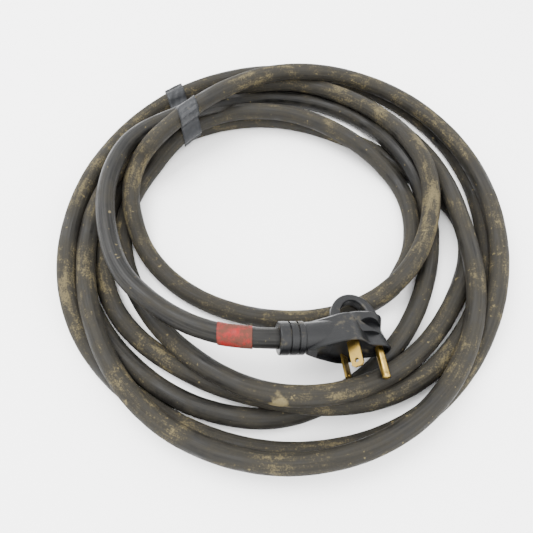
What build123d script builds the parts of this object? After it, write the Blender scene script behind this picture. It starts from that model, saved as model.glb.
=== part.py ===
from build123d import *
import math
import os

# Shore power cord, 30 A travel-trailer type: about 7 m of 10/3 rubber-jacketed cord in a
# loose coil, with a right-angle moulded plug on one end and stripped wires on the other.
# Millimetres, +Z up. The origin is on the floor under the middle of the coil. The plug
# lies inside the near side of the coil, its pins towards -Y and its pull ring towards +Y.

# ---------------------------------------------------------------- driving dimensions
CORD_D = 15.5                      # over the jacket
WIRE_D = 4.6                       # over one conductor's insulation
COPPER_D = 3.0                     # bare strands of one conductor
LAYER = CORD_D                     # one turn lying on another

# Coil: how far its outlines lie from the hub, every 30 degrees from +X towards +Y.
HUB = (-2.0, 1.5)
OUTER = [199, 200, 202, 200, 198, 196, 195, 194, 196, 203, 200, 195]
FLOOR_INNER = [147, 112, 114, 123, 130, 131, 128, 126, 129, 138, 145, 148]
SECOND_INNER = [122, 116, 116, 126, 131, 133, 131, 132, 152, 181, 178, 158]
TIE_ANGLE = 124                    # where the tape ties all the turns together
TIE_TURNS = (134, 191)             # inner and outer reach of the bundle under the tape
TIE_TAPE_W = 19
TIE_TAPE_T = 0.8
TIE_SLACK = 12                     # the loop of tape is this much wider than the bundle
TIE_CORNER = 14                    # outer radius of the loop's corners
HEAP_ANGLES = (104, 134, 163)      # start, middle and end of the third layer, at the tie
HEAP_H = LAYER * 0.9
HEAP_STUB = 22                     # round end of the heap, where the lead leaves it

# Innermost turn and the loose one beside it lie apart from the rest on the near side.
INNER_TURN = [(172, 130), (262, 82.5), (352, 116)]
LOOSE_TURN = [(286, 152), (318, 131), (357, 124)]
# Three stripped wires at the far end, lying on the floor under the innermost turn.
TAIL_TURN = [(300.5, 87), (316.5, 96.3), (332, 106)]
TAIL_HOLLOW = (CORD_D + 3, WIRE_D + 1.2)   # width and height of the room for them
TAIL_PITCH = WIRE_D + 0.6          # between neighbouring stripped wires
TAIL_START = 0.06                  # where the bare ends start, as a share of the tail turn
TAIL_BARE = 0.3                    # where the insulation starts

# Lead: the stretch that leaves the coil on top of it and runs down to the plug.
LEAD = [
    (-151.8, 31.3, 40.0),
    (-144.6, -12.0, 42.0),
    (-127.9, -54.3, 43.0),
    (-103.2, -78.4, 43.0),
    (-78.0, -94.7, 42.0),
    (-50.0, -104.9, 41.0),
]
JACKET_IN_PLUG = 20                # how far the jacket runs into the strain relief
STRAIGHT_OUT = 11                  # straight stretch just outside the strain relief
MARKER_AT = (-49.6, -24.6)         # X range of the red marker tape on the lead
MARKER_T = 0.5

# Plug: its own frame has x along the cord, y to the back (ring), z across, pins to -y.
PLUG_AT = (-6.6, -107.4, 39.0)
PLUG_YAW = 4.5
PLUG_PITCH = 9.5
PLUG_ROLL = -9.0

RELIEF_L = 19
RELIEF_D = 24.4
RELIEF_GROOVES = (7.0, 13.0)
RELIEF_GROOVE = (1.4, 1.3)         # width and depth
RELIEF_ROUND = 1.2
JACKET_STOP = 1.2                  # lip that the jacket's end meets inside the anchor
ANCHOR_L = 7
ANCHOR_D = 19

# Half of the face's outline, along the cord and across it: wide at the blades, narrow at
# the ground pin. The sections give height and how far each outline lies inside it.
HEAD_SIDE = [(20, 4), (30, 10.5), (40, 15.5), (50, 19), (56.5, 17.5), (63, 12), (73, 9.8), (81, 6)]
HEAD_END = 83
HEAD_FRONT = 12
HEAD_BACK = 14
HEAD_SECTIONS = [(HEAD_BACK, 6.5), (HEAD_BACK - 2.5, 4), (0.7 - HEAD_FRONT, 0), (-HEAD_FRONT, 0.7)]
# Broad shoulder of the head's back: middle along the cord, length, width and corner.
SHOULDER = (62, 38, 33, 16)
SHOULDER_FRONT = -2                # where it starts, behind the narrower face
SHOULDER_EDGE = 2.5
FACE_RIM = 3.0                     # how far the rim stands proud of the pin carrier
WALL = 1.6                         # of the rim
RECESS_FROM = 28                   # start of the recess inside the rim, along the cord
CARRIER_INSET = 3.2                # of the carrier's outline from the face's
CARRIER_FROM = 38.5
CHAMBER = [(26, 5), (33, 8.5), (36, 10.2), (41, 10.7), (57, 11.5), (59.5, 4.2), (78, 4.2)]
WIRE_WAY = (10, 14)                # height, width of the way from anchor to chamber
NECK_D = RELIEF_D - 1.8            # where the neck leaves the strain relief
NECK_ROOT = (22, 25, 8)            # height, thickness and corner where it runs into the head
NECK_END = 46

RING_U = 60.5
RING_OUTER = (19.0, 23.5)
RING_HOLE = (11.0, 17.5)
RING_T = 9
RING_ROUND = 2
THUMB_DEPTH_TO = 8.0               # half-thickness left between the two thumb hollows
THUMB_EDGES = [((59.5, 5.5), (67.5, 0), (80, -2.5)), ((80, -2.5), (71, 7), (59.5, 5.5))]

BLADE_U = 51
BLADE_SPREAD = 23.0                # between the two blades' middles
BLADE_W = 8.8
BLADE_T = 1.6
BLADE_L = 17.2
BLADE_HOLE_D = 3.2
BLADE_HOLE_IN = 4.5                # from the blade's tip to the hole's middle
BLADE_TILT = 45
TIP_CHAMFER = 1.8
GROUND_U = 74.5
GROUND_D = 6.3
GROUND_ROOT_D = 5.2                # inside the carrier
GROUND_L = 21.6
PIN_ROOT = 1.0                     # how far the pins reach out of the carrier's back

TERMINAL_Y = 4.2
TERMINAL_L = 9.0
TERMINAL_D = 6.0
TERMINAL_CAP = 1.5                 # closed end beyond the strands
TERMINAL_ENDS = {
    "hot": (BLADE_U - 1, 7.2),
    "neutral": (BLADE_U - 1, -7.2),
    "ground": (66, 0),
}
WIRE_STARTS = {"hot": (-1.0, 3.6), "neutral": (-1.0, -3.6), "ground": (3.6, 0)}
WIRE_STRAIGHT = 9                  # straight stretch after the jacket
STUB = 4                           # straight stretch before the terminal

os.makedirs("parts", exist_ok=True)


# ---------------------------------------------------------------- helpers
def polar(angle, radius):
    """Point at a compass angle and distance from the coil's hub."""
    turn = math.radians(angle)
    return (HUB[0] + radius * math.cos(turn), HUB[1] + radius * math.sin(turn))


def clock(radii):
    """Outline points from one distance every 30 degrees."""
    return [polar(30 * hour, radius) for hour, radius in enumerate(radii)]


def easy_radii(points, share=0.45):
    """Largest arc radius at each inner corner of a route: share of the shorter run."""
    radii = []
    for before, corner, after in zip(points, points[1:], points[2:]):
        into = Vector(*corner) - Vector(*before)
        out = Vector(*after) - Vector(*corner)
        half = math.radians(into.get_angle(out)) / 2
        radii.append(share * min(into.length, out.length) / math.tan(half))
    return radii


def beside(edge, t, shift):
    """Point at a distance to the left of an edge lying flat."""
    spot = edge @ t
    heading = edge % t
    return (spot.X - shift * heading.Y, spot.Y + shift * heading.X)


def save(builder, name):
    builder.part.label = name
    export_step(builder.part, f"parts/{name}.step")


PLUG = Pos(*PLUG_AT) * Rot(Z=PLUG_YAW) * Rot(Y=PLUG_PITCH) * Rot(X=PLUG_ROLL)


def in_plug(x, y, z):
    """A point of the plug's frame in the model's frame."""
    return tuple((PLUG * Pos(x, y, z)).position)


def across(x):
    """Plane square to the cord at x, its normal along the cord."""
    return Plane((PLUG * Plane.YZ.offset(x).location))


def facing(y):
    """Plane parallel to the face at y, its normal along the pins."""
    return Plane((PLUG * Plane.XZ.offset(-y).location))


def flat(z):
    """Plane parallel to the ring at z, its normal across the plug."""
    return Plane((PLUG * Plane.XY.offset(z).location))


def head_outline(inset=0.0):
    """Face outline of the head, or one lying inside it."""
    first, last = HEAD_SIDE[0][0], HEAD_END
    shrink = 1 - 2 * inset / (last - first)
    side = [(first + inset + (x - first) * shrink, max(z - inset, 1)) for x, z in HEAD_SIDE]
    mirrored = [(x, -z) for x, z in reversed(side)]
    with BuildLine() as outline:
        Spline(*side, (last - inset, 0), *mirrored)
        Line(mirrored[-1], side[0])
    make_face(outline.edges())


def cut_outline(inset, start):
    """The head's outline without its part nearer the cord than the start."""
    head_outline(inset)
    Rectangle(2 * start, 2 * HEAD_END, mode=Mode.SUBTRACT)


# ---------------------------------------------------------------- cord: coil and lead
tie_middle = (TIE_TURNS[0] + TIE_TURNS[1]) / 2
tie_reach = TIE_TURNS[1] - TIE_TURNS[0]
tie_height = 2 * LAYER + HEAP_H
tie_turn = math.radians(TIE_ANGLE)
tie_plane = Plane(
    origin=(*polar(TIE_ANGLE, tie_middle + TIE_SLACK / 3), tie_height / 2),
    x_dir=(math.cos(tie_turn), math.sin(tie_turn), 0),
    z_dir=(-math.sin(tie_turn), math.cos(tie_turn), 0),
)
tie_outside = (tie_reach + TIE_SLACK, tie_height, TIE_CORNER)
tie_inside = (
    tie_outside[0] - 2 * TIE_TAPE_T, tie_outside[1] - 2 * TIE_TAPE_T, TIE_CORNER - TIE_TAPE_T)

with BuildPart() as cord_coil:
    # turns on the floor
    with BuildSketch():
        with BuildLine():
            Spline(*clock(OUTER), periodic=True)
        make_face()
        with BuildLine(mode=Mode.PRIVATE) as floor_hole:
            Spline(*clock(FLOOR_INNER), periodic=True)
        make_face(floor_hole.edges(), mode=Mode.SUBTRACT)
    extrude(amount=LAYER)
    # turns on top of them
    with BuildSketch(Plane.XY.offset(LAYER)):
        with BuildLine():
            Spline(*clock(OUTER), periodic=True)
        make_face()
        with BuildLine(mode=Mode.PRIVATE) as second_hole:
            Spline(*clock(SECOND_INNER), periodic=True)
        make_face(second_hole.edges(), mode=Mode.SUBTRACT)
    extrude(amount=LAYER)
    # innermost turn and the loose one
    for turn in (INNER_TURN, LOOSE_TURN):
        with BuildSketch():
            with BuildLine():
                ThreePointArc(*[polar(*point) for point in turn])
            trace(line_width=CORD_D)
        extrude(amount=CORD_D)
    # heap of turns at the tie, its near end square to the lead
    heap_end = Vector(*LEAD[0]) - Vector(*LEAD[1])
    heap_plane = Plane(origin=LEAD[0], x_dir=(0, 0, -1), z_dir=heap_end)
    with BuildSketch(Plane.XY.offset(2 * LAYER)):
        with BuildLine():
            Line(polar(HEAP_ANGLES[0], TIE_TURNS[0]), polar(HEAP_ANGLES[0], TIE_TURNS[1]))
            ThreePointArc(*[polar(angle, TIE_TURNS[1]) for angle in HEAP_ANGLES])
            Line(polar(HEAP_ANGLES[2], TIE_TURNS[1]), polar(HEAP_ANGLES[2], TIE_TURNS[0]))
            ThreePointArc(*[polar(angle, TIE_TURNS[0]) for angle in reversed(HEAP_ANGLES)])
        make_face()
    extrude(amount=HEAP_H)
    with BuildSketch(heap_plane):
        Circle(CORD_D / 2)
    extrude(amount=HEAP_STUB)
    # hollow under the innermost turn, where the stripped wires lie
    with BuildSketch():
        with BuildLine():
            ThreePointArc(*[polar(*point) for point in TAIL_TURN])
        trace(line_width=TAIL_HOLLOW[0])
    extrude(amount=TAIL_HOLLOW[1], mode=Mode.SUBTRACT)
    # the bundle is squeezed into the loop of tape
    with BuildSketch(tie_plane):
        Rectangle(2 * tie_outside[0], 2 * tie_outside[1])
        RectangleRounded(*tie_inside, mode=Mode.SUBTRACT)
    extrude(amount=TIE_TAPE_W / 2, both=True, mode=Mode.SUBTRACT)
save(cord_coil, "cord_coil")

lead_route = LEAD + [in_plug(-STRAIGHT_OUT, 0, 0), in_plug(JACKET_IN_PLUG, 0, 0)]
lead_radii = easy_radii(lead_route)
with BuildPart() as cord_lead:
    with BuildLine() as lead_line:
        FilletPolyline(*lead_route, radius=lead_radii)
    with BuildSketch(lead_line.line ^ 0):
        Circle(CORD_D / 2)
    sweep()
save(cord_lead, "cord_lead")
print("lead radii", [round(radius) for radius in lead_radii])
lead_length = lead_line.wires()[0].length
lead_section = math.pi * CORD_D**2 / 4
print("lead length", round(lead_length, 1))
print("lead volume / (section x length)", round(cord_lead.part.volume / lead_section / lead_length, 4))

# ---------------------------------------------------------------- tapes
with BuildPart() as tie_tape:
    with BuildSketch(tie_plane):
        RectangleRounded(*tie_outside)
        RectangleRounded(*tie_inside, mode=Mode.SUBTRACT)
    extrude(amount=TIE_TAPE_W / 2, both=True)
save(tie_tape, "tie_tape")

with BuildPart() as marker_tape:
    with BuildLine() as marker_line:
        FilletPolyline(*lead_route, radius=lead_radii)
    with BuildSketch(marker_line.line ^ 0):
        Circle(CORD_D / 2 + MARKER_T)
        Circle(CORD_D / 2, mode=Mode.SUBTRACT)
    sweep()
    # cut off square at both ends
    beyond = 2 * max(OUTER)
    near, far = MARKER_AT
    with Locations((near - beyond / 2, 0, 0), (far + beyond / 2, 0, 0)):
        Box(beyond, beyond, beyond, mode=Mode.SUBTRACT)
save(marker_tape, "marker_tape")

# ---------------------------------------------------------------- plug: strain relief
with BuildPart() as strain_relief:
    with BuildSketch(across(0)):
        Circle(RELIEF_D / 2)
    extrude(amount=RELIEF_L)
    fillet(strain_relief.edges().filter_by(GeomType.CIRCLE), RELIEF_ROUND)
    with BuildSketch(across(RELIEF_L)):
        Circle(ANCHOR_D / 2)
    extrude(amount=ANCHOR_L)
    for groove in RELIEF_GROOVES:
        with BuildSketch(across(groove)):
            Circle(RELIEF_D / 2 + 1)
            Circle(RELIEF_D / 2 - RELIEF_GROOVE[1], mode=Mode.SUBTRACT)
        extrude(amount=RELIEF_GROOVE[0], mode=Mode.SUBTRACT)
    with BuildSketch(across(-1)):
        Circle(CORD_D / 2)
    extrude(amount=1 + JACKET_IN_PLUG, mode=Mode.SUBTRACT)
    with BuildSketch(across(JACKET_IN_PLUG)):
        Circle(CORD_D / 2 - JACKET_STOP)
    extrude(amount=RELIEF_L + ANCHOR_L - JACKET_IN_PLUG + 1, mode=Mode.SUBTRACT)
save(strain_relief, "strain_relief")

# ---------------------------------------------------------------- plug: moulded body
with BuildPart() as pull_ring:
    with BuildSketch(flat(0)):
        with Locations((RING_U, HEAD_BACK - 1)):
            Ellipse(*RING_OUTER)
            Ellipse(*RING_HOLE, mode=Mode.SUBTRACT)
        with Locations((RING_U, HEAD_BACK - 3 - RING_OUTER[1] / 2)):
            Rectangle(2 * RING_OUTER[0] + 2, RING_OUTER[1], mode=Mode.SUBTRACT)
    extrude(amount=RING_T / 2, both=True)
    fillet(pull_ring.edges().filter_by(GeomType.ELLIPSE), RING_ROUND)

carrier_y = HEAD_FRONT - FACE_RIM
head_half = max(z for x, z in HEAD_SIDE)
outward = Axis((0, 0, 0), tuple(facing(0).z_dir))
with BuildPart() as plug_body:
    for y, inset in HEAD_SECTIONS:
        with BuildSketch(facing(y)):
            head_outline(inset)
    loft(ruled=True)
    # broad shoulder behind the narrow end of the face, its edge bevelled at the back
    for y, inset in ((HEAD_BACK, SHOULDER_EDGE), (HEAD_BACK - SHOULDER_EDGE, 0), (SHOULDER_FRONT, 4)):
        with BuildSketch(facing(y)):
            with Locations((SHOULDER[0], 0)):
                RectangleRounded(SHOULDER[1] - 2 * inset, SHOULDER[2] - 2 * inset, SHOULDER[3] - inset)
    loft(ruled=True)
    # neck, round at the strain relief and oblong where it meets the head
    with BuildSketch(across(RELIEF_L)):
        Circle(NECK_D / 2)
    with BuildSketch(across(NECK_END)):
        with Locations(((HEAD_BACK - HEAD_FRONT) / 2, 0)):
            RectangleRounded(*NECK_ROOT)
    loft()
    add(pull_ring.part)
    # thumb hollows in both sides of the head, between the face and the ring
    for side in (-1, 1):
        with BuildSketch(flat(side * head_half)):
            with BuildLine():
                for edge in THUMB_EDGES:
                    ThreePointArc(*edge)
            make_face()
        extrude(amount=side * (THUMB_DEPTH_TO - head_half), mode=Mode.SUBTRACT)
    # seat of the strain relief and its anchor
    with BuildSketch(across(0)):
        Circle(RELIEF_D)
    extrude(amount=RELIEF_L, mode=Mode.SUBTRACT)
    with BuildSketch(across(RELIEF_L)):
        Circle(ANCHOR_D / 2)
    extrude(amount=ANCHOR_L, mode=Mode.SUBTRACT)
    # recess of the face, and the seat of the pin carrier and the pins' inner ends behind it
    with BuildSketch(facing(-carrier_y)):
        cut_outline(WALL, RECESS_FROM)
    extrude(amount=FACE_RIM + 1, mode=Mode.SUBTRACT)
    with BuildSketch(facing(PIN_ROOT)):
        cut_outline(CARRIER_INSET, CARRIER_FROM)
    extrude(amount=PIN_ROOT + carrier_y, mode=Mode.SUBTRACT)
    # room for the wires and their terminals behind the carrier
    with BuildSketch(facing(TERMINAL_Y + TERMINAL_D / 2)):
        with BuildLine():
            Polyline(*CHAMBER, *[(x, -z) for x, z in reversed(CHAMBER)], close=True)
        make_face()
    extrude(amount=TERMINAL_Y + TERMINAL_D / 2, mode=Mode.SUBTRACT)
    with BuildSketch(across(RELIEF_L + ANCHOR_L)):
        Rectangle(*WIRE_WAY)
    extrude(amount=CHAMBER[3][0] - RELIEF_L - ANCHOR_L, mode=Mode.SUBTRACT)
save(plug_body, "plug_body")

# ---------------------------------------------------------------- plug: carrier and pins
half_spread = BLADE_SPREAD / 2
blade_places = {
    "hot": (BLADE_U, half_spread, BLADE_TILT),
    "neutral": (BLADE_U, -half_spread, -BLADE_TILT),
}

with BuildPart() as pin_carrier:
    with BuildSketch(facing(0)):
        cut_outline(CARRIER_INSET, CARRIER_FROM)
    extrude(amount=carrier_y)
    for x, z, turn in blade_places.values():
        with BuildSketch(facing(0)):
            with Locations(Location((x, z, 0), (0, 0, turn))):
                Rectangle(BLADE_W, BLADE_T)
        extrude(amount=carrier_y, mode=Mode.SUBTRACT)
    with BuildSketch(facing(0)):
        with Locations((GROUND_U, 0)):
            Circle(GROUND_ROOT_D / 2)
    extrude(amount=carrier_y, mode=Mode.SUBTRACT)
save(pin_carrier, "pin_carrier")

for name, (x, z, turn) in blade_places.items():
    with BuildPart() as blade:
        with BuildSketch(facing(PIN_ROOT)):
            with Locations(Location((x, z, 0), (0, 0, turn))):
                Rectangle(BLADE_W, BLADE_T)
        extrude(amount=PIN_ROOT + HEAD_FRONT + BLADE_L)
        corners = blade.edges().filter_by(lambda edge: abs(edge.length - BLADE_T) < 0.01)
        chamfer(corners.sort_by(outward)[-2:], TIP_CHAMFER)
        # hole near the tip, through the broad side
        broad = Plane(PLUG * Plane.XZ.offset(HEAD_FRONT + BLADE_L - BLADE_HOLE_IN).location)
        hole_plane = broad * Pos(x, z, 0) * Rot(Z=turn) * Rot(X=90)
        with BuildSketch(Plane(hole_plane)):
            Circle(BLADE_HOLE_D / 2)
        extrude(amount=BLADE_T, both=True, mode=Mode.SUBTRACT)
    save(blade, f"{name}_blade")

with BuildPart() as ground_pin:
    with BuildSketch(facing(PIN_ROOT)):
        with Locations((GROUND_U, 0)):
            Circle(GROUND_ROOT_D / 2)
    extrude(amount=PIN_ROOT + carrier_y)
    with BuildSketch(facing(-carrier_y)):
        with Locations((GROUND_U, 0)):
            Circle(GROUND_D / 2)
    extrude(amount=FACE_RIM + GROUND_L)
    fillet(ground_pin.edges().sort_by(outward)[-1], TIP_CHAMFER)
save(ground_pin, "ground_pin")

# ---------------------------------------------------------------- plug: terminals and wires
for name, (x, z) in TERMINAL_ENDS.items():
    with BuildPart() as terminal:
        barrel = Plane((across(x - TERMINAL_L).location * Pos(TERMINAL_Y, z, 0)))
        with BuildSketch(barrel):
            Circle(TERMINAL_D / 2)
            Circle(COPPER_D / 2, mode=Mode.SUBTRACT)
        extrude(amount=TERMINAL_L)
        with BuildSketch(Plane(barrel.location * Pos(0, 0, TERMINAL_L))):
            Circle(TERMINAL_D / 2)
        extrude(amount=TERMINAL_CAP)
    save(terminal, f"{name}_terminal")

    y_start, z_start = WIRE_STARTS[name]
    insulation_end = x - TERMINAL_L - 1
    route = [
        in_plug(JACKET_IN_PLUG, y_start, z_start),
        in_plug(JACKET_IN_PLUG + WIRE_STRAIGHT, y_start, z_start),
        in_plug(insulation_end - STUB, TERMINAL_Y, z),
        in_plug(insulation_end, TERMINAL_Y, z),
    ]
    wire_radii = easy_radii(route)
    with BuildPart() as insulation:
        with BuildLine() as wire_line:
            FilletPolyline(*route, radius=wire_radii)
        with BuildSketch(wire_line.line ^ 0):
            Circle(WIRE_D / 2)
            Circle(COPPER_D / 2, mode=Mode.SUBTRACT)
        sweep()
    save(insulation, f"{name}_insulation")

    route[-1] = in_plug(x, TERMINAL_Y, z)
    with BuildPart() as copper:
        with BuildLine() as copper_line:
            FilletPolyline(*route, radius=wire_radii)
        with BuildSketch(copper_line.line ^ 0):
            Circle(COPPER_D / 2)
        sweep()
    save(copper, f"{name}_copper")

# ---------------------------------------------------------------- far end: stripped wires
tail_middle = ThreePointArc(*[polar(*point) for point in TAIL_TURN])
for lane, name in enumerate(("hot", "ground", "neutral")):
    shift = (lane - 1) * TAIL_PITCH
    tail_arc = [beside(tail_middle, t, shift) for t in (0, 0.5, 1)]
    with BuildPart() as tail_insulation:
        with BuildLine(Plane.XY.offset(WIRE_D / 2)) as tail_line:
            ThreePointArc(*tail_arc)
        with BuildSketch(tail_line.line ^ TAIL_BARE):
            Circle(WIRE_D / 2)
            Circle(COPPER_D / 2, mode=Mode.SUBTRACT)
        sweep(path=tail_line.edges()[0].trim(TAIL_BARE, 1))
    save(tail_insulation, f"tail_{name}_insulation")
    with BuildPart() as tail_copper:
        with BuildSketch(tail_line.line ^ TAIL_START):
            Circle(COPPER_D / 2)
        sweep(path=tail_line.edges()[0].trim(TAIL_START, 1))
    save(tail_copper, f"tail_{name}_copper")
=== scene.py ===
import math

import bmesh
import bpy
import numpy as np
from mathutils import Matrix, Vector


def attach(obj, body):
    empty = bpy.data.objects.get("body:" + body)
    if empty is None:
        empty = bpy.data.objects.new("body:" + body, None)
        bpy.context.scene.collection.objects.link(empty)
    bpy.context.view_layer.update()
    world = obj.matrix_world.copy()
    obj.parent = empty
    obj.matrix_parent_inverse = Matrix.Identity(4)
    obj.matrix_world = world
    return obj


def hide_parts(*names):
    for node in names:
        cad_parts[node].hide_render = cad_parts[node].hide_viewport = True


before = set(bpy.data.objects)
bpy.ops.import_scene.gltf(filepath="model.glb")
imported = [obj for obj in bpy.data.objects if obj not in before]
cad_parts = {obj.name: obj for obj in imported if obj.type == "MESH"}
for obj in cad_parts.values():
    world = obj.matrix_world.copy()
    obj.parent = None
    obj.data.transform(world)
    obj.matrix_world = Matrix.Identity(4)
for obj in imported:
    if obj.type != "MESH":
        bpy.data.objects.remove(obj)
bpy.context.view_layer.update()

MM = 0.001
SEED = 7

# ---------------------------------------------------------------- dimensions, as in part.py
CORD_D = 15.5 * MM
HUB = Vector((-2.0, 1.5)) * MM
PLUG_AT = Vector((-6.6, -107.4, 39.0)) * MM
PLUG_YAW, PLUG_PITCH, PLUG_ROLL = 4.5, 9.5, -9.0
JACKET_IN_PLUG = 20 * MM
STRAIGHT_OUT = 11 * MM
LEAD = [
    (-151.8, 31.3, 40.0),
    (-144.6, -12.0, 42.0),
    (-127.9, -54.3, 43.0),
    (-103.2, -78.4, 43.0),
    (-78.0, -94.7, 42.0),
    (-50.0, -104.9, 41.0),
]
WIRE_D = 4.6 * MM
TAIL_TURN = [(300.5, 87), (316.5, 96.3), (332, 106)]   # stripped wires: degrees, mm from HUB

# ---------------------------------------------------------------- camera
CAMERA_AT = Vector((-14.6, -234.2, 374.0)) * MM
CAMERA_DOWN = 61.0                 # degrees below the horizon, looking along +Y
CAMERA_LENS = 33.4                 # for a 36 mm wide square picture
SENSOR_W = 36
CLIP_START = 0.01
SEEN_HEIGHT = 20 * MM              # the height at which the turns' places are given

# ---------------------------------------------------------------- coil
# Distance in mm from SEEN_HUB every 30 degrees, the way the cord runs: from 150 degrees (0 is
# +X, 90 is +Y) towards smaller angles. Each row after the first starts at 240 degrees.
SEEN_HUB = Vector((-2.6, 1.8)) * MM
FIRST_ANGLE = 150
RADII_EVERY = 30                   # degrees
TURN_RADII = [
    [168, 160, 159, 149, 137, 124, 128, 142.5, 161],
    [168, 170, 171, 160, 155, 165, 162, 159, 157, 174, 188.5, 192],
    [185.5, 171.5, 165, 160, 160, 175, 167, 153.5, 127, 108, 94, 87],
    [90, 104, 126, 154.5, 169, 193, 198, 192, 184, 180.5, 186, 184],
    [178.5, 178, 177, 180, 188, 192, 190, 183, 174, 172, 166, 150],
    [145.5, 152, 149, 145, 133, 123, 117, 126, 157, 153, 151.5, 146],
    [135.5, 132, 135.5, 137, 145, 136, 124, 121, 120, 110],
]
# Which lies on which at the same places, 0 lowest: the order in which the turns were laid.
TURN_LAYERS = [
    [3, 2, 1, 1, 1, 1, 0, 0, 0],
    [0, 0, 0, 0, 0, 0, 0, 0, 1, 3, 1, 1],
    [2, 2, 2, 2, 1, 1, 1, 2, 3, 2, 0.3, 0],
    [0, 0, 2, 4, 3, 1, 1, 1, 1, 2, 0, 0],
    [1, 1, 1, 0, 0, 0, 0, 0, 0, 1, 1, 1],
    [1, 0, 0, 0, 0, 0, 0, 0, 0, 0, 1, 2],
    [2, 1, 1, 1, 1, 1, 1, 2, 2, 0],
]
STEP_DEG = 3
KEEP_EVERY = 3                     # every third settled point is a control point of the spline
SPLINE_STEPS = 6

# How the turns settle. In each step they fall by drop (mm), their heights even out by the
# share stiff, and they go back to their line of sight by the share keep.
SETTLE_STEPS = 420
LATE_STEPS = 120                   # the last ones mostly take the last overlaps away
EARLY_RATES = (0.5, 0.25, 0.1)
LATE_RATES = (0.05, 0.02, 0.02)
START_SPACING = 1.05 * CORD_D      # between layers before they settle
BEND_REACH = 3                     # points over which heights and sideways shifts even out
EVEN_SHARE = 0.4
PAIRS_EVERY = 8                    # steps between two searches for stretches that could touch
PAIRS_WITHIN = 2 * CORD_D
CONTACT_PASSES = 4
CONTACT_RATE = 1.5                 # times the mean of the pushes, so that it settles sooner
OWN_STRETCH = 7                    # points along one stretch that don't push each other
TOP_LAYER = 9                      # the lead's
LAYERS_APART = 0.5                 # with less between their layers, neither stretch is on top
CROSSING_WITHIN = 0.7 * CORD_D     # nearer than this, seen from above, two stretches cross
NO_DISTANCE = 1e-6                 # keeps points at one place from a division by zero
# Angles at which the turn over the stripped wires starts to rise, is up, starts to fall and is
# down again. Under the plug's ring it stays low, and there it overlaps the wires' bare ends.
TAIL_LIFT_AT = (304, 313, 332, 346)
TAIL_END_POINTS = 20               # the cord's own end isn't lifted

# ---------------------------------------------------------------- surface of the cord
CORD_SIDES = 24
UNEVEN = 0.08 * MM                 # the jacket's radius varies by about this much
UNEVEN_WAVES = [(0.011, 2), (0.023, 1), (0.0047, 3)]   # length in metres, lobes round the cord
UNEVEN_BEAT = 1.7                  # each wave swells and fades over this many times its length
# Dried mud: middle of each lump in mm, and how far it reaches.
MUD_SPOTS = [
    ((-4.7, -150.6, 36.0), 9.0),
    ((3.0, -147.0, 36.0), 6.0),
    ((-27.5, -170.3, 34.0), 8.0),
    ((-17.0, -170.0, 34.0), 6.0),
    ((99.6, 45.9, 23.0), 7.0),
]
MUD_THICK = 1.1 * MM
MUD_GRAIN = (0.0021, 5)            # length in metres and lobes of the lumps' own unevenness
MUD_DIP = 0.4                      # and its share of their thickness
# How dusty the cord is, at metres from the plug: wiped clean near it.
DUST_ALONG = [(0, 0.35), (0.3, 0.4), (0.7, 0.5), (1.3, 0.75), (3.0, 0.92), (5.0, 0.85), (6.8, 0.7)]

# ---------------------------------------------------------------- tape around the turns
TIE_AT = Vector((-93.6, 128.8)) * MM
TIE_HEADING = 110                  # it lies a little askew to the hub
TIE_REACH = 75 * MM                # how far from there it looks for turns
TIE_STACK = 24 * MM                # the stack of turns on the hub's side is this wide
TIE_SIDE_ROWS = 24
TIE_W = 19 * MM
TIE_T = 0.5 * MM
TIE_OVER = CORD_D / 2 + 0.35 * MM  # from the cord's centre line to the tape's middle
TIE_NEAR = 2 * CORD_D              # turns this near to a profile's plane hold the tape up
TIE_CUT = CORD_D / 4               # and this near they are taken to be in the plane
TIE_BRIDGE = 9 * MM                # radius of the tape where it dips between turns
TIE_COLUMNS = 110
TIE_RIPPLE = 0.25 * MM
WHOLE_TURN = 6.3                   # radians, roughly
FAR = 1.0                          # metres, beyond everything here
TIE_SAMPLES = 400                  # places at which the height over the turns is worked out
TIE_SIDE_SAMPLES = 60
TIE_FINE = 6                       # steps between two points of the cord's line
TIE_ROWS = 9

# ---------------------------------------------------------------- studio
FLOOR_REACH = 3
FLOOR_COLOUR = (0.95, 0.95, 0.95, 1)
FLOOR_ROUGH = 0.9
WORLD_LIGHT = 4.2
# Name, place in metres, size and power.
LAMPS = [
    ("key", (-0.5, 0.3, 1.3), 0.8, 34.0),
    ("fill", (0.7, -0.7, 1.1), 1.2, 14.0),
]

plug = (
    Matrix.Translation(PLUG_AT)
    @ Matrix.Rotation(math.radians(PLUG_YAW), 4, "Z")
    @ Matrix.Rotation(math.radians(PLUG_PITCH), 4, "Y")
    @ Matrix.Rotation(math.radians(PLUG_ROLL), 4, "X")
)


def in_plug(x, y, z):
    """A point of the plug's frame, in metres, in the model's frame."""
    return plug @ Vector((x, y, z))


# ---------------------------------------------------------------- the cord's route
def along_sight(seen, height):
    """Places at SEEN_HEIGHT moved along the camera's line of sight to other heights."""
    foot = np.array(CAMERA_AT.xy)
    share = (CAMERA_AT.z - height) / (CAMERA_AT.z - SEEN_HEIGHT)
    return foot + (seen - foot) * share[:, None]


def smooth_between(values, steps):
    """Catmull-Rom curve through values, steps points to each interval."""
    ends = np.concatenate([[values[0]], values, [values[-1]]])
    t = np.arange(steps) / steps
    rows = []
    for a, b, c, d in zip(ends, ends[1:], ends[2:], ends[3:]):
        rows.append(
            b + 0.5 * t * (c - a + t * (2 * a - 5 * b + 4 * c - d + t * (3 * (b - c) + d - a)))
        )
    return np.concatenate(rows + [[values[-1]]])


def blur(values, width):
    """Gaussian blur along the first axis, ends held."""
    reach = int(3 * width)
    kernel = np.exp(-0.5 * (np.arange(-reach, reach + 1) / width) ** 2)
    padded = np.concatenate([[values[0]] * reach, values, [values[-1]] * reach])
    return np.convolve(padded, kernel / kernel.sum(), mode="valid")


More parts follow.
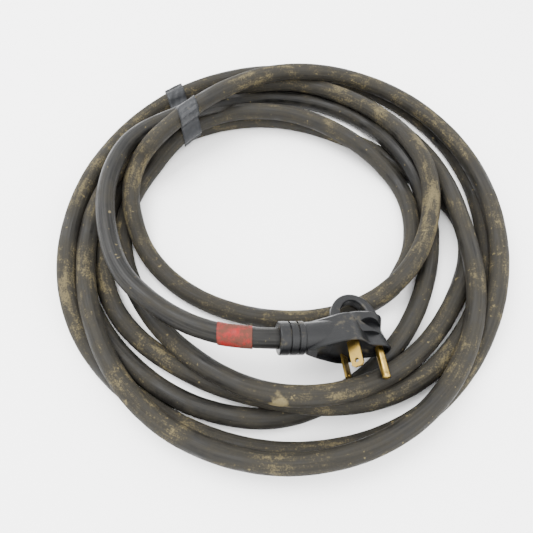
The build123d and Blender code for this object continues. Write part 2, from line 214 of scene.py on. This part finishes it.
def settle(seen, start_z, layers, lead):
    """Let the turns fall onto the floor and onto each other.

    Each point keeps softly to its line of sight, stretches nearer than a diameter are pushed
    apart, and where they cross, the one in the higher layer stays on top. The lead doesn't
    move and lies on everything.
    """
    held = len(lead)
    points = np.concatenate([lead, np.column_stack([along_sight(seen, start_z), start_z])])
    layers = np.concatenate([np.full(held, TOP_LAYER), layers])
    free = np.ones(len(points))
    free[:held] = 0.0
    for step in range(SETTLE_STEPS):
        if step % PAIRS_EVERY == 0:
            pairs = near_pairs(points, layers, free)
        fall(points, held, seen, LATE_RATES if step > SETTLE_STEPS - LATE_STEPS else EARLY_RATES)
        for _ in range(CONTACT_PASSES):
            points += CONTACT_RATE * contact_moves(points, pairs)
            points[held:, 2] = np.maximum(points[held:, 2], resting_height(points[held:]))
    return points[held:]


def fall(points, held, seen, rates):
    """Lower the turns a little, even them out and bring them back to their lines of sight."""
    drop, stiff, keep = rates
    coil = points[held:]
    coil[:, 2] -= drop * MM
    coil[:, 2] += stiff * (blur(points[:, 2], BEND_REACH)[held:] - coil[:, 2])
    target = along_sight(seen, coil[:, 2])
    strayed = coil[:, :2] - target
    even = np.column_stack([blur(strayed[:, axis], BEND_REACH) for axis in (0, 1)])
    mixed = (1 - EVEN_SHARE) * strayed + EVEN_SHARE * even
    coil[:, :2] += (1 - keep) * mixed - strayed


def contact_moves(points, pairs):
    """How far each point moves away from the ones that it overlaps."""
    first, second, weights, order = pairs
    gap = points[first] - points[second]
    distance = np.linalg.norm(gap, axis=1)
    overlap = np.clip(CORD_D / np.maximum(distance, NO_DISTANCE) - 1, 0, None)
    push = gap * overlap[:, None]
    # where two stretches cross, the upper one is only lifted
    beside = np.hypot(gap[:, 0], gap[:, 1])
    clear = np.sqrt(np.clip(CORD_D**2 - beside**2, 0, None))
    crossing = (order != 0) & (beside < CROSSING_WITHIN)
    lift = np.clip(clear - order * gap[:, 2], 0, None) * order
    push[crossing] = 0
    push[crossing, 2] = lift[crossing]
    touch = np.abs(push).sum(1) > 0
    moves = np.zeros_like(points)
    hits = np.zeros(len(points))
    for place, weight, sign in ((first, weights[0], 1), (second, weights[1], -1)):
        hits += np.bincount(place, touch, len(points))
        for axis in range(3):
            share = push[:, axis] * weight
            moves[:, axis] += sign * np.bincount(place, share, len(points))
    return moves / np.maximum(hits, 1)[:, None]


def resting_height(points):
    """Lowest height of each point of the turns: on the floor or on the stripped wires."""
    out = points[:, :2] - np.array(HUB)
    angle = np.degrees(np.arctan2(out[:, 1], out[:, 0])) % 360
    beside = np.abs(np.hypot(*out.T) - np.interp(angle, *np.transpose(TAIL_TURN)) * MM)
    over = np.interp(angle, TAIL_LIFT_AT, (0, 1, 1, 0)) * (beside < CORD_D)
    over[-TAIL_END_POINTS:] = 0
    return CORD_D / 2 + WIRE_D * over**2 * (3 - 2 * over)


def near_pairs(points, layers, free):
    """Pairs of points of two stretches that could soon touch.

    With them come the share of a push that each of the two takes, and which one is on top.
    """
    gap = points[:, None, :] - points[None, :, :]
    first, second = np.nonzero((gap**2).sum(2) < PAIRS_WITHIN**2)
    other = second - first > OWN_STRETCH
    first, second = first[other], second[other]
    order = np.sign(layers[first] - layers[second])
    order[np.abs(layers[first] - layers[second]) < LAYERS_APART] = 0
    total = free[first] + free[second]
    return first, second, (free[first] / total, free[second] / total), order


def spline_line(points):
    """The points of the NURBS spline with these control points."""
    curve = nurbs("scratch_line", points)
    mesh = bpy.data.meshes.new_from_object(curve)
    line = np.array([vertex.co[:] for vertex in mesh.vertices])
    bpy.data.meshes.remove(mesh)
    bpy.data.objects.remove(curve)
    return line


def nurbs(name, points):
    """A curve object with one open NURBS spline."""
    data = bpy.data.curves.new(name, "CURVE")
    data.dimensions = "3D"
    data.resolution_u = SPLINE_STEPS
    spline = data.splines.new("NURBS")
    spline.points.add(len(points) - 1)
    for target, point in zip(spline.points, points):
        target.co = (*point, 1.0)
    spline.order_u = 3
    spline.use_endpoint_u = True
    return bpy.data.objects.new(name, data)


lead_points = [in_plug(JACKET_IN_PLUG / 2, 0, 0), in_plug(-STRAIGHT_OUT, 0, 0)]
lead_points += [Vector(point) * MM for point in reversed(LEAD)]

radii = smooth_between(np.concatenate(TURN_RADII) * MM, RADII_EVERY // STEP_DEG)
layers = smooth_between(np.concatenate(TURN_LAYERS).astype(float), RADII_EVERY // STEP_DEG)
angles = np.radians(FIRST_ANGLE - STEP_DEG * np.arange(len(radii)))
seen = np.array(SEEN_HUB) + radii[:, None] * np.column_stack([np.cos(angles), np.sin(angles)])
start_z = CORD_D / 2 + START_SPACING * np.clip(layers, 0, None)

lead_line = spline_line(lead_points)
coil_points = settle(seen, start_z, layers, lead_line)

control = lead_points + [Vector(point) for point in coil_points[::KEEP_EVERY]]
cord_line = spline_line(control)


# ---------------------------------------------------------------- meshes
def add_mesh(name, points, faces):
    """A smooth mesh object in the scene."""
    mesh = bpy.data.meshes.new(name)
    mesh.from_pydata([tuple(point) for point in points], [], faces)
    mesh.polygons.foreach_set("use_smooth", [True] * len(faces))
    mesh.update()
    made = bpy.data.objects.new(name, mesh)
    bpy.context.scene.collection.objects.link(made)
    return made


def grid_faces(rows, columns, closed):
    """Quads between rows of equally many points, each row closed to a ring or open."""
    faces = []
    for row in range(rows - 1):
        for column in range(columns if closed else columns - 1):
            near, far = row * columns, (row + 1) * columns
            after = (column + 1) % columns
            faces.append((near + column, near + after, far + after, far + column))
    return faces


def along(line):
    """Arc length at each point of a line, and unit directions there."""
    steps = np.linalg.norm(np.diff(line, axis=0), axis=1)
    heading = np.gradient(line, axis=0)
    heading /= np.linalg.norm(heading, axis=1)[:, None]
    return np.concatenate([[0], np.cumsum(steps)]), heading


def make_cord(line):
    """Jacket of the cord: a tube along the line, slightly uneven, with lumps of dried mud."""
    rng = np.random.default_rng(SEED)
    length, heading = along(line)
    turn = np.arange(CORD_SIDES) * 2 * math.pi / CORD_SIDES
    normal = np.cross(heading[0], [0, 0, 1.0])
    waves = rng.uniform(0, 2 * math.pi, (len(UNEVEN_WAVES), 2))
    rings, mud = [], []
    for place, point, ahead in zip(length, line, heading):
        normal = normal - ahead * (normal @ ahead)
        normal /= np.linalg.norm(normal)
        side = np.cross(ahead, normal)
        out = np.cos(turn)[:, None] * normal + np.sin(turn)[:, None] * side
        uneven = sum(
            np.sin(place / wave + lobes * turn + shift[0])
            * np.sin(place / wave / UNEVEN_BEAT + shift[1])
            for (wave, lobes), shift in zip(UNEVEN_WAVES, waves)
        )
        ring = point + (CORD_D / 2 + UNEVEN * (uneven - 1)[:, None]) * out
        lump = mud_lump(ring, out, place, turn)
        rings.append(ring + (MUD_THICK * lump)[:, None] * out)
        mud.append(lump)
    cord = add_mesh("cord", np.concatenate(rings), grid_faces(len(line), CORD_SIDES, True))
    close_ends(cord.data, len(line))
    unroll(cord.data, length)
    dust = np.interp(length, *zip(*DUST_ALONG))
    for name, values in (("dust", np.repeat(dust, CORD_SIDES)), ("mud", np.concatenate(mud))):
        cord.data.attributes.new(name, "FLOAT", "POINT").data.foreach_set("value", values)
    return cord


def mud_lump(ring, out, place, turn):
    """How thick the mud is on one ring of points, 0 to 1, on its upper side only."""
    lump = np.zeros(CORD_SIDES)
    for spot, reach in MUD_SPOTS:
        away = np.linalg.norm(ring - np.array(spot) * MM, axis=1) / (reach * MM)
        lump = np.maximum(lump, np.clip(1 - away**2, 0, 1) * (out[:, 2] > 0))
    wave, lobes = MUD_GRAIN
    return lump * (1 - MUD_DIP + MUD_DIP * np.sin(place / wave + lobes * turn))


def close_ends(mesh, rings):
    """Flat ends for a tube of that many rings."""
    grid = bmesh.new()
    grid.from_mesh(mesh)
    grid.verts.ensure_lookup_table()
    last = (rings - 1) * CORD_SIDES
    grid.faces.new([grid.verts[i] for i in reversed(range(CORD_SIDES))])
    grid.faces.new([grid.verts[last + i] for i in range(CORD_SIDES)])
    bmesh.ops.recalc_face_normals(grid, faces=grid.faces)
    grid.to_mesh(mesh)
    grid.free()


def unroll(mesh, length):
    """UV map of the cord: u in metres along it, v once round it."""
    layer = mesh.uv_layers.new(name="cord")
    for polygon in mesh.polygons:
        columns = [mesh.loops[i].vertex_index % CORD_SIDES for i in polygon.loop_indices]
        wraps = max(columns) - min(columns) > CORD_SIDES / 2
        for i, column in zip(polygon.loop_indices, columns):
            row = mesh.loops[i].vertex_index // CORD_SIDES
            over = CORD_SIDES if wraps and column == 0 else 0
            layer.data[i].uv = (length[row], (column + over) / CORD_SIDES)


def laid_over(places, spots):
    """Height of tape laid over the cord at spots (place, height, distance from its plane).

    It follows the cord, as spheres round the spots, and bridges narrow dips.
    """
    rise = TIE_OVER**2 - (places[:, None] - spots[:, 0]) ** 2 - spots[:, 2] ** 2
    surface = spots[:, 1] + np.sqrt(np.maximum(rise, 0))
    top = np.where(rise > 0, surface, spots[:, 1].min()).max(1)
    disc = TIE_BRIDGE**2 - (places[:, None] - places) ** 2
    lift = np.sqrt(np.maximum(disc, 0))
    over = np.where(disc > 0, top[None, :] + lift, -FAR).max(1)
    return np.where(disc > 0, over[None, :] - lift, FAR).min(1)


def spots_near(line, out, on, offset):
    """Spots of the cord near a profile's plane, closer together than the line's points."""
    flat = line[:, :2] - np.array(TIE_AT)
    spots = np.column_stack([flat @ out, line[:, 2], flat @ on - offset])
    near = (np.abs(spots[:, 2]) < TIE_NEAR) & (np.abs(spots[:, 0]) < TIE_REACH)
    both = near[:-1] & near[1:]
    return np.concatenate([
        spots[:-1][both] + share * (spots[1:][both] - spots[:-1][both])
        for share in np.arange(TIE_FINE) / TIE_FINE
    ])


def tie_profile(line, offset):
    """Points, from the hub side outwards, of tape laid over the turns at an offset."""
    turn = math.radians(TIE_HEADING)
    out = np.array([math.cos(turn), math.sin(turn)])
    on = np.array([-out[1], out[0]])
    close = spots_near(line, out, on, offset)
    cut = close[np.abs(close[:, 2]) < TIE_CUT]
    low, high = cut[:, 0].min() - TIE_OVER, cut[:, 0].max() + TIE_OVER
    brow = cut[cut[:, 0].argmin(), 1]
    foot = cut[cut[:, 0].argmax(), 1]

    # over the tops, with more columns near both edges
    fine = np.linspace(low, high, TIE_SAMPLES)
    across = (low + high) / 2 - (high - low) / 2 * np.cos(np.linspace(0, math.pi, TIE_COLUMNS))
    tops = np.interp(across, fine, laid_over(fine, close))
    tops = np.maximum(tops, brow * (across < low + TIE_OVER / 2))
    tops[-1] = min(tops[-1], foot)

    # down the stack's side towards the hub
    levels = np.linspace(CORD_D / 2, brow, TIE_SIDE_SAMPLES)
    inner = close[close[:, 0] < low + TIE_STACK]
    side = -laid_over(levels, np.column_stack([inner[:, 1], -inner[:, 0], inner[:, 2]]))
    down = np.linspace(CORD_D / 2, brow, TIE_SIDE_ROWS)[:-1]

    rows = list(zip(np.interp(down, levels, side), down)) + list(zip(across, tops))
    return [
        (TIE_AT.x + place * out[0] + offset * on[0], TIE_AT.y + place * out[1] + offset * on[1], z)
        for place, z in rows
    ]


def make_tie(line):
    """Electrical tape over the turns, following their tops, with a slight ripple."""
    offsets = np.linspace(-TIE_W / 2, TIE_W / 2, TIE_ROWS)
    rows = [tie_profile(line, offset) for offset in offsets]
    rng = np.random.default_rng(SEED)
    points = np.concatenate(rows)
    points[:, 2] += TIE_RIPPLE * np.sin(rng.uniform(0, WHOLE_TURN, len(points)))
    tie = add_mesh("tie_wraps", points, grid_faces(len(rows), len(rows[0]), False))
    shell = tie.modifiers.new("thickness", "SOLIDIFY")
    shell.thickness = TIE_T
    shell.offset = 0.0
    return tie


# ---------------------------------------------------------------- materials
SPECULAR = 0.2
CORD_SPECULAR = 0.14
DUST = (0.06, 0.051, 0.032)
TARNISH = {"brass": (0.13, 0.09, 0.03), "copper": (0.20, 0.10, 0.05)}
RED_TAPE_DIRT = (0.045, 0.022, 0.014)
WIRE_COLOURS = {
    "black_wire": (0.025, 0.025, 0.025),
    "white_wire": (0.62, 0.61, 0.56),
    "green_wire": (0.03, 0.20, 0.07),
}


class Paint:
    """A node material being made, on a Principled shader."""

    def __init__(self, name):
        self.made = bpy.data.materials.new(name)
        self.made.use_nodes = True
        self.nodes = self.made.node_tree.nodes
        self.shader = self.nodes["Principled BSDF"]
        self.shader.inputs["Specular IOR Level"].default_value = SPECULAR
        self.place = self.nodes.new("ShaderNodeTexCoord").outputs["Object"]

    def join(self, source, target):
        """Link an output to an input."""
        self.made.node_tree.links.new(source, target)

    def noise(self, scale, detail=4.0, rough=0.6, place=None, squeeze=None):
        """Noise at a scale per metre, or per unit of another place, squeezed by axis."""
        node = self.nodes.new("ShaderNodeTexNoise")
        node.inputs["Scale"].default_value = scale
        node.inputs["Detail"].default_value = detail
        node.inputs["Roughness"].default_value = rough
        place = place or self.place
        if squeeze:
            mapping = self.nodes.new("ShaderNodeMapping")
            mapping.inputs["Scale"].default_value = squeeze
            self.join(place, mapping.inputs["Vector"])
            place = mapping.outputs["Vector"]
        self.join(place, node.inputs["Vector"])
        return node.outputs["Fac"]

    def attribute(self, name):
        """A value stored at the mesh's points."""
        node = self.nodes.new("ShaderNodeAttribute")
        node.attribute_name = name
        return node.outputs["Fac"]

    def plus(self, a, b):
        """Sum of two values, kept between 0 and 1."""
        return self.math("ADD", a, b)

    def times(self, a, b):
        """Product of two values."""
        return self.math("MULTIPLY", a, b)

    def math(self, kind, a, b):
        """Output of a Math node of that kind; a sum is kept between 0 and 1."""
        node = self.nodes.new("ShaderNodeMath")
        node.operation = kind
        node.use_clamp = kind == "ADD"
        for source, socket in ((a, node.inputs[0]), (b, node.inputs[1])):
            if isinstance(source, (int, float)):
                socket.default_value = source
            else:
                self.join(source, socket)
        return node.outputs[0]

    def span(self, value, low, high, to_low=0.0, to_high=1.0):
        """Value between low and high, as a smooth step between two other values."""
        node = self.nodes.new("ShaderNodeMapRange")
        node.interpolation_type = "SMOOTHSTEP"
        for name, number in (("From Min", low), ("From Max", high),
                             ("To Min", to_low), ("To Max", to_high)):
            node.inputs[name].default_value = number
        self.join(value, node.inputs["Value"])
        return node.outputs["Result"]

    def mix(self, share, a, b):
        """Colour a where share is 0 and b where it is 1."""
        node = self.nodes.new("ShaderNodeMix")
        node.data_type = "RGBA"
        self.join(share, node.inputs[0])
        for source, socket in ((a, node.inputs[6]), (b, node.inputs[7])):
            if isinstance(source, tuple):
                socket.default_value = (*source, 1.0)
            else:
                self.join(source, socket)
        return node.outputs[2]

    def bump(self, height, depth):
        """Relief of that depth in metres."""
        node = self.nodes.new("ShaderNodeBump")
        node.inputs["Distance"].default_value = depth
        self.join(height, node.inputs["Height"])
        self.join(node.outputs["Normal"], self.shader.inputs["Normal"])

    def finish(self, colour, rough):
        """Give the shader its colour and roughness."""
        self.join(colour, self.shader.inputs["Base Color"])
        self.join(rough, self.shader.inputs["Roughness"])
        return self.made


def worn(name, base, dust, share, rough, depth, grain=900.0, blotch=70.0, metal=0.0):
    """Material with dust or tarnish in blotches, and a fine grain in colour and relief.

    share is how much of it the blotches cover, rough the roughness where it is clean and
    where it isn't, depth the height of the grain.
    """
    paint = Paint(name)
    paint.shader.inputs["Metallic"].default_value = metal
    fine = paint.noise(grain, 6.0)
    patch = paint.noise(blotch, 8.0, 0.7)
    cover = paint.span(patch, 0.68 - 0.36 * share, 0.82 - 0.3 * share)
    tone = paint.mix(fine, tuple(0.75 * c for c in base), tuple(1.25 * c for c in base))
    dusty = paint.mix(fine, tuple(0.8 * c for c in dust), dust)
    paint.bump(paint.plus(fine, paint.times(patch, 0.5)), depth)
    return paint.finish(paint.mix(cover, tone, dusty), paint.span(cover, 0, 1, *rough))


def cord_rubber():
    """Black rubber jacket: long ridges with a painted sheen on their tops, films of tan dust,
    crusts of dried mud.
    """
    paint = Paint("cord_rubber")
    paint.shader.inputs["Specular IOR Level"].default_value = CORD_SPECULAR
    uv = paint.nodes.new("ShaderNodeUVMap")
    uv.uv_map = "cord"
    ridges = paint.noise(1.0, 3.0, 0.55, uv.outputs["UV"], (14.0, 26.0, 1.0))
    streaks = paint.noise(1.0, 6.0, 0.7, uv.outputs["UV"], (30.0, 9.0, 1.0))
    speck = paint.noise(750.0, 5.0, 0.7)
    film = paint.noise(26.0, 9.0, 0.68)

    # where dust and mud lie
    amount = paint.plus(paint.times(film, 0.62), paint.times(streaks, 0.38))
    amount = paint.plus(amount, paint.times(paint.attribute("dust"), 0.22))
    film_cover = paint.span(amount, 0.50, 0.82, 0.0, 0.85)
    grainy = paint.plus(paint.times(amount, 0.75), paint.times(speck, 0.25))
    crust_cover = paint.span(grainy, 0.655, 0.74, 0.0, 0.7)
    ragged = paint.times(paint.attribute("mud"), paint.span(speck, 0.2, 0.6, 0.6, 1.2))
    mud_cover = paint.span(ragged, 0.08, 0.35)
    chip_cover = paint.span(paint.noise(210.0, 2.0, 0.5), 0.70, 0.74, 0.0, 0.8)

    # their colours, over the rubber's
    # painted highlight along the ridges: where the ridge noise is high, the rubber's colour is
    # painted lighter
    painted_ridge_sheen = paint.span(ridges, 0.3, 0.7)
    colour = paint.mix(painted_ridge_sheen, (0.0015, 0.0015, 0.0015), (0.0105, 0.0102, 0.0096))
    dust = paint.mix(speck, (0.014, 0.013, 0.0105), (0.036, 0.031, 0.021))
    crust = paint.mix(speck, (0.045, 0.036, 0.017), (0.13, 0.105, 0.05))
    colour = paint.mix(film_cover, colour, dust)
    for cover in (crust_cover, chip_cover, mud_cover):
        colour = paint.mix(cover, colour, crust)

    relief = paint.plus(paint.times(ridges, 0.6), paint.times(speck, 0.25))
    relief = paint.plus(relief, paint.times(crust_cover, 0.2))
    paint.bump(relief, 0.6 * MM)
    return paint.finish(colour, paint.span(film_cover, 0.0, 0.6, 0.38, 0.78))


def tape(name, base, dust, share, shine, wrinkle):
    """Adhesive vinyl tape: edges of its wraps, stretch wrinkles and dust stuck to it."""
    paint = Paint(name)
    wraps = paint.nodes.new("ShaderNodeTexWave")
    wraps.inputs["Scale"].default_value = 55.0
    wraps.inputs["Distortion"].default_value = 3.0
    wraps.inputs["Detail"].default_value = 2.0
    paint.join(paint.place, wraps.inputs["Vector"])
    crease = paint.noise(wrinkle, 4.0, 0.6, None, (1.0, 0.35, 1.0))
    stuck = paint.noise(110.0, 9.0, 0.75)
    cover = paint.span(stuck, 0.66 - 0.3 * share, 0.84 - 0.3 * share, 0.0, 0.85)
    tone = paint.mix(crease, tuple(0.6 * c for c in base), tuple(1.3 * c for c in base))
    edges = paint.times(wraps.outputs["Fac"], 0.35)
    paint.bump(paint.plus(edges, crease), 0.7 * MM)
    return paint.finish(paint.mix(cover, tone, dust), paint.span(cover, 0, 1, shine, 0.85))


paints = {
    "cord_rubber": cord_rubber(),
    "plug_rubber": worn(
        "plug_rubber", (0.0035, 0.0037, 0.0042), DUST, share=0.34, rough=(0.34, 0.7),
        depth=0.22 * MM),
    "carrier": worn(
        "carrier", (0.005, 0.005, 0.0055), DUST, share=0.35, rough=(0.5, 0.85),
        depth=0.15 * MM),
    "black_tape": tape(
        "black_tape", (0.011, 0.012, 0.0138), DUST, share=0.25, shine=0.42, wrinkle=240.0),
    "red_tape": tape(
        "red_tape", (0.15, 0.004, 0.003), RED_TAPE_DIRT, share=0.95, shine=0.5, wrinkle=320.0),
    "brass": worn(
        "brass", (0.30, 0.20, 0.05), TARNISH["brass"], share=0.45, rough=(0.28, 0.6),
        depth=0.06 * MM, grain=1500.0, blotch=220.0, metal=1.0),
    "copper": worn(
        "copper", (0.70, 0.36, 0.22), TARNISH["copper"], share=0.4, rough=(0.35, 0.6),
        depth=0.1 * MM, grain=2500.0, blotch=300.0, metal=1.0),
}
for name, colour in WIRE_COLOURS.items():
    paints[name] = worn(name, colour, DUST, share=0.25, rough=(0.4, 0.75), depth=0.08 * MM)


def wear(made, name):
    """Give a piece its material."""
    made.data.materials.clear()
    made.data.materials.append(paints[name])


# ---------------------------------------------------------------- cord and its tape
cord = make_cord(cord_line)
wear(cord, "cord_rubber")
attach(cord, "root")
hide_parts("cord_coil", "cord_lead")

tie = make_tie(cord_line)
wear(tie, "black_tape")
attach(tie, "root")
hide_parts("tie_tape")

# ---------------------------------------------------------------- CAD nodes
slots = {
    "marker_tape": "red_tape",
    "strain_relief": "plug_rubber",
    "plug_body": "plug_rubber",
    "pin_carrier": "carrier",
    "hot_blade": "brass",
    "neutral_blade": "brass",
    "ground_pin": "brass",
}
for name, wire in (("hot", "black_wire"), ("neutral", "white_wire"), ("ground", "green_wire")):
    slots[f"{name}_terminal"] = "brass"
    slots[f"{name}_insulation"] = wire
    slots[f"{name}_copper"] = "copper"
    slots[f"tail_{name}_insulation"] = wire
    slots[f"tail_{name}_copper"] = "copper"
for node, name in slots.items():
    wear(bpy.data.objects[node], name)

# ---------------------------------------------------------------- floor, light, camera
corners = [(x * FLOOR_REACH, y * FLOOR_REACH, 0) for x, y in ((-1, -1), (1, -1), (1, 1), (-1, 1))]
ground = add_mesh("floor", corners, [(0, 1, 2, 3)])
pale = bpy.data.materials.new("pale_floor")
pale.use_nodes = True
surface = pale.node_tree.nodes["Principled BSDF"].inputs
surface["Base Color"].default_value = FLOOR_COLOUR
surface["Roughness"].default_value = FLOOR_ROUGH
ground.data.materials.append(pale)

world = bpy.data.worlds.new("studio")
world.use_nodes = True
sky = world.node_tree.nodes["Background"].inputs
sky["Color"].default_value = (1, 1, 1, 1)
sky["Strength"].default_value = WORLD_LIGHT
bpy.context.scene.world = world

for name, at, size, power in LAMPS:
    lamp = bpy.data.lights.new(name, "AREA")
    lamp.size = size
    lamp.energy = power
    placed = bpy.data.objects.new(name, lamp)
    placed.location = at
    placed.rotation_euler = Vector(at).to_track_quat("Z", "Y").to_euler()
    bpy.context.scene.collection.objects.link(placed)

lens = bpy.data.cameras.new("camera")
lens.lens = CAMERA_LENS
lens.sensor_width = SENSOR_W
lens.clip_start = CLIP_START
camera = bpy.data.objects.new("camera", lens)
camera.location = CAMERA_AT
camera.rotation_euler = (math.radians(90 - CAMERA_DOWN), 0, 0)
bpy.context.scene.collection.objects.link(camera)
bpy.context.scene.camera = camera

bpy.context.view_layer.update()
